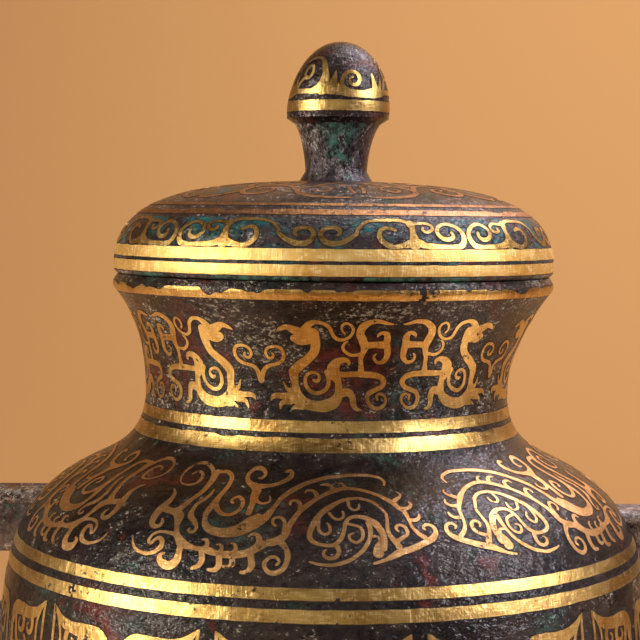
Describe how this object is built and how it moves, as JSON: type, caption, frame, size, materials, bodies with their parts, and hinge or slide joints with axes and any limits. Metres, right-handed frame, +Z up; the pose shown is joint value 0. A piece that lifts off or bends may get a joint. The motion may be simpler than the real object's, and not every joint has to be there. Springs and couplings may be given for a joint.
{
  "type": "lidded bronze jar",
  "caption": "Lidded bronze jar on a ring foot, with a waisted neck, a domed lid with a bud knob, loop handles and gold inlaid bands and scrolls.",
  "frame": {"origin": "centre of the foot ring's underside", "axes": "+Z up the jar's axis, +X towards the right-hand handle, -Y towards the viewer of the picture"},
  "size_m": [0.2604, 0.195, 0.2979],
  "materials": {
    "bronze_body": "dark cast bronze with a purple-brown patina and grey-green mineral specks",
    "bronze_lid": "dark cast bronze with a teal-green patina",
    "bronze_handle": "rough cast bronze, worn and mineral crusted",
    "gold_inlay": "brushed gold sheet laid flush in the bronze"
  },
  "bodies": {
    "root": {"jar_body": "bronze_body", "lid": "bronze_lid", "handle_left": "bronze_handle", "handle_right": "bronze_handle"}
  },
  "joints": []
}
